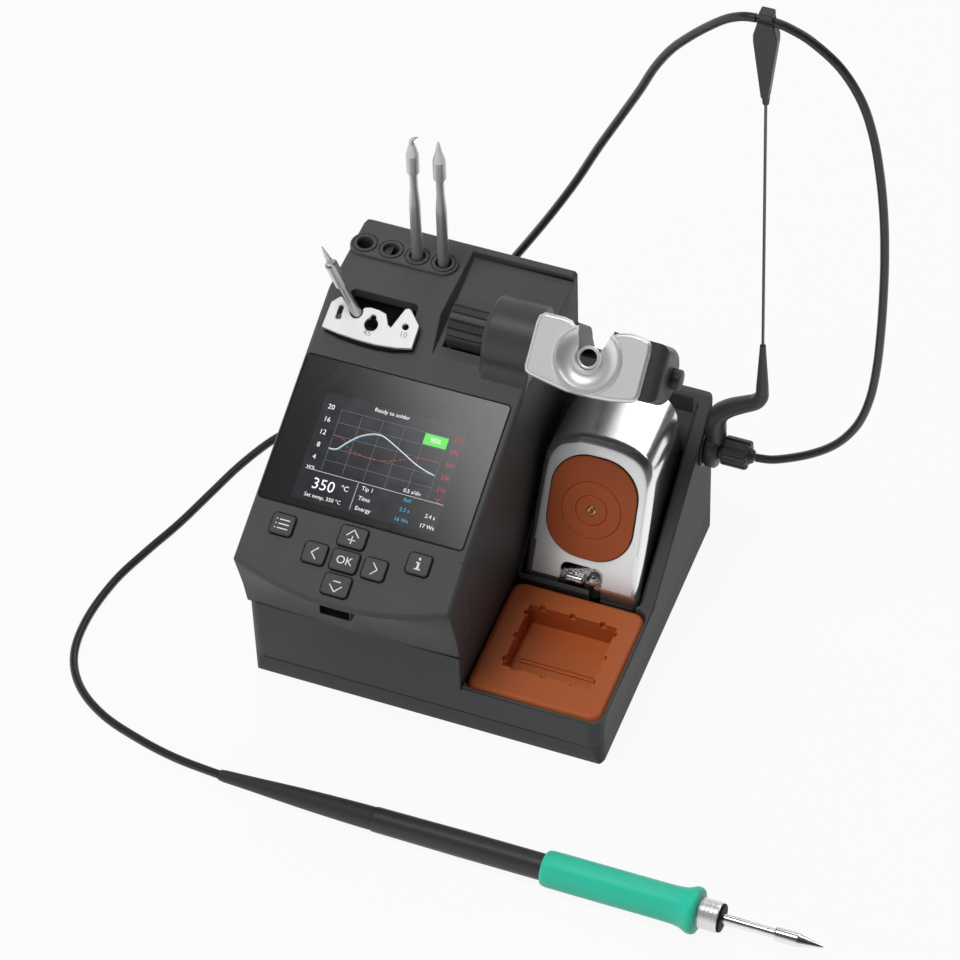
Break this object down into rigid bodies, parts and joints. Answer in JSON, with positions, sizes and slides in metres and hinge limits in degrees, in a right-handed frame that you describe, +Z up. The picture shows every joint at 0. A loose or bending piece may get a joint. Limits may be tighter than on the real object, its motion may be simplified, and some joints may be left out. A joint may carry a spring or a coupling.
{
  "type": "soldering station",
  "caption": "Bench soldering station with tilted display console, cartridge rack, tilting tool holder, tip guard, silicone tray, cable collector rod and a wired soldering handle.",
  "frame": {"origin": "on the table, at the middle of the front left foot's underside", "axes": "+X to the right seen from the front, +Y to the back, +Z up"},
  "size_m": [0.3381, 0.2245, 0.3057],
  "materials": {
    "housing": "fine textured moulded plastic",
    "glass_front": "glossy display window",
    "board_green": "circuit board",
    "key_plastic": "satin key",
    "satin_steel": "satin steel",
    "bright_chrome": "bright chromed sheet",
    "dark_metal": "dark anodised metal",
    "orange_silicone": "matt silicone",
    "green_grip": "soft grip",
    "black_rubber": "black rubber",
    "black_plastic": "black moulded plastic",
    "brass": "brass wool",
    "winding": "wrapped transformer winding",
    "alu": "extruded aluminium"
  },
  "bodies": {
    "root": {"base_tray": "housing", "rubber_feet": "black_rubber", "base_screws": "satin_steel", "console_walls": "housing", "console_face": "housing", "console_top": "housing", "stand_bay": "housing", "display_window": "glass_front", "display_panel": "glass_front", "keypad_board": "board_green", "usb_port": "satin_steel", "extractor_plate": "satin_steel", "extractor_base": "black_plastic", "extractor_pocket": "black_plastic", "cartridge_rack": "black_plastic", "power_transformer": "winding", "transformer_clamp": "satin_steel", "main_board": "board_green", "heat_sink": "alu", "mains_inlet": "black_plastic", "power_switch": "black_plastic", "earth_socket": "black_plastic", "tool_socket": "dark_metal", "plug_body": "dark_metal", "stand_insert": "black_plastic", "wool_cup": "dark_metal", "brass_wool": "brass", "holder_bracket": "housing", "handle_relief": "black_rubber", "handle_body": "black_plastic", "handle_grip": "green_grip", "cable_handle_side": "black_rubber"},
    "collector": {"collector_arm": "dark_metal", "collector_rod": "satin_steel", "collector_clip": "black_plastic", "cable_plug_side": "black_rubber"},
    "plug_ring": {"plug_nut": "dark_metal"},
    "guard": {"tip_guard": "bright_chrome", "membrane": "orange_silicone", "wiper_bar": "black_plastic", "wiper_screw": "satin_steel"},
    "tray": {"silicone_tray": "orange_silicone"},
    "holder": {"holder_shaft": "satin_steel", "holder_head": "housing", "holder_plate": "satin_steel"},
    "knob": {"holder_knob": "black_plastic"},
    "rocker": {"power_rocker": "black_plastic"},
    "fuse": {"fuse_drawer": "black_plastic"},
    "spare_bent": {"cartridge_bent": "satin_steel"},
    "spare_straight": {"cartridge_straight": "satin_steel"},
    "spare_leaning": {"cartridge_leaning": "satin_steel"},
    "tip_cartridge": {"handle_cartridge": "satin_steel"},
    "front_nut": {"handle_nut": "satin_steel"},
    "menu_key": {"key_menu": "key_plastic"},
    "up_key": {"key_up": "key_plastic"},
    "left_key": {"key_left": "key_plastic"},
    "ok_key": {"key_ok": "key_plastic"},
    "right_key": {"key_right": "key_plastic"},
    "down_key": {"key_down": "key_plastic"},
    "info_key": {"key_info": "key_plastic"}
  },
  "joints": [
    {"name": "holder_tilt", "type": "hinge", "parent": "root", "child": "holder", "pos_m": [0.078, 0.06944, 0.128], "axis": [1, 0, 0], "range_deg": [-20, 20]},
    {"name": "holder_knob_turn", "type": "hinge", "parent": "holder", "child": "knob", "pos_m": [0.05, 0.06944, 0.128], "axis": [1, 0, 0], "range_deg": [0, 270]},
    {"name": "collector_swivel", "type": "hinge", "parent": "root", "child": "collector", "pos_m": [0.14, 0.098, 0.0605], "axis": [1, 0, 0], "range_deg": [-30, 30]},
    {"name": "plug_nut_turn", "type": "hinge", "parent": "collector", "child": "plug_ring", "pos_m": [0.15, 0.098, 0.0605], "axis": [1, 0, 0], "range_deg": [0, 270]},
    {"name": "guard_lift", "type": "slide", "parent": "root", "child": "guard", "axis": [0, 0, 1], "range_m": [0, 0.025]},
    {"name": "tray_lift", "type": "slide", "parent": "root", "child": "tray", "axis": [0, 0, 1], "range_m": [0, 0.03]},
    {"name": "rocker_tilt", "type": "hinge", "parent": "root", "child": "rocker", "pos_m": [0.009, 0.11, 0.062], "axis": [0, 0, 1], "range_deg": [0, 14]},
    {"name": "fuse_slide", "type": "slide", "parent": "root", "child": "fuse", "axis": [0, 1, 0], "range_m": [0, 0.012]},
    {"name": "bent_cartridge_pull", "type": "slide", "parent": "root", "child": "spare_bent", "axis": [0, 0, 1], "range_m": [0, 0.036]},
    {"name": "straight_cartridge_pull", "type": "slide", "parent": "root", "child": "spare_straight", "axis": [0, 0, 1], "range_m": [0, 0.036]},
    {"name": "leaning_cartridge_pull", "type": "slide", "parent": "root", "child": "spare_leaning", "axis": [-0.3251, -0.0544, 0.9441], "range_m": [0, 0.05]},
    {"name": "tip_cartridge_pull", "type": "slide", "parent": "root", "child": "tip_cartridge", "axis": [0.9992, -0.0192, 0.0349], "range_m": [0, 0.045]},
    {"name": "front_nut_turn", "type": "hinge", "parent": "root", "child": "front_nut", "pos_m": [0.20189, -0.08769, 0.00999], "axis": [0.9992, -0.0192, 0.0349], "range_deg": [0, 180]},
    {"name": "menu_press", "type": "slide", "parent": "root", "child": "menu_key", "axis": [0, 0.4067, -0.9135], "range_m": [0, 0.0008], "stiffness_N_per_m": 400},
    {"name": "up_press", "type": "slide", "parent": "root", "child": "up_key", "axis": [0, 0.4067, -0.9135], "range_m": [0, 0.0008], "stiffness_N_per_m": 400},
    {"name": "left_press", "type": "slide", "parent": "root", "child": "left_key", "axis": [0, 0.4067, -0.9135], "range_m": [0, 0.0008], "stiffness_N_per_m": 400},
    {"name": "ok_press", "type": "slide", "parent": "root", "child": "ok_key", "axis": [0, 0.4067, -0.9135], "range_m": [0, 0.0008], "stiffness_N_per_m": 400},
    {"name": "right_press", "type": "slide", "parent": "root", "child": "right_key", "axis": [0, 0.4067, -0.9135], "range_m": [0, 0.0008], "stiffness_N_per_m": 400},
    {"name": "down_press", "type": "slide", "parent": "root", "child": "down_key", "axis": [0, 0.4067, -0.9135], "range_m": [0, 0.0008], "stiffness_N_per_m": 400},
    {"name": "info_press", "type": "slide", "parent": "root", "child": "info_key", "axis": [0, 0.4067, -0.9135], "range_m": [0, 0.0008], "stiffness_N_per_m": 400}
  ]
}
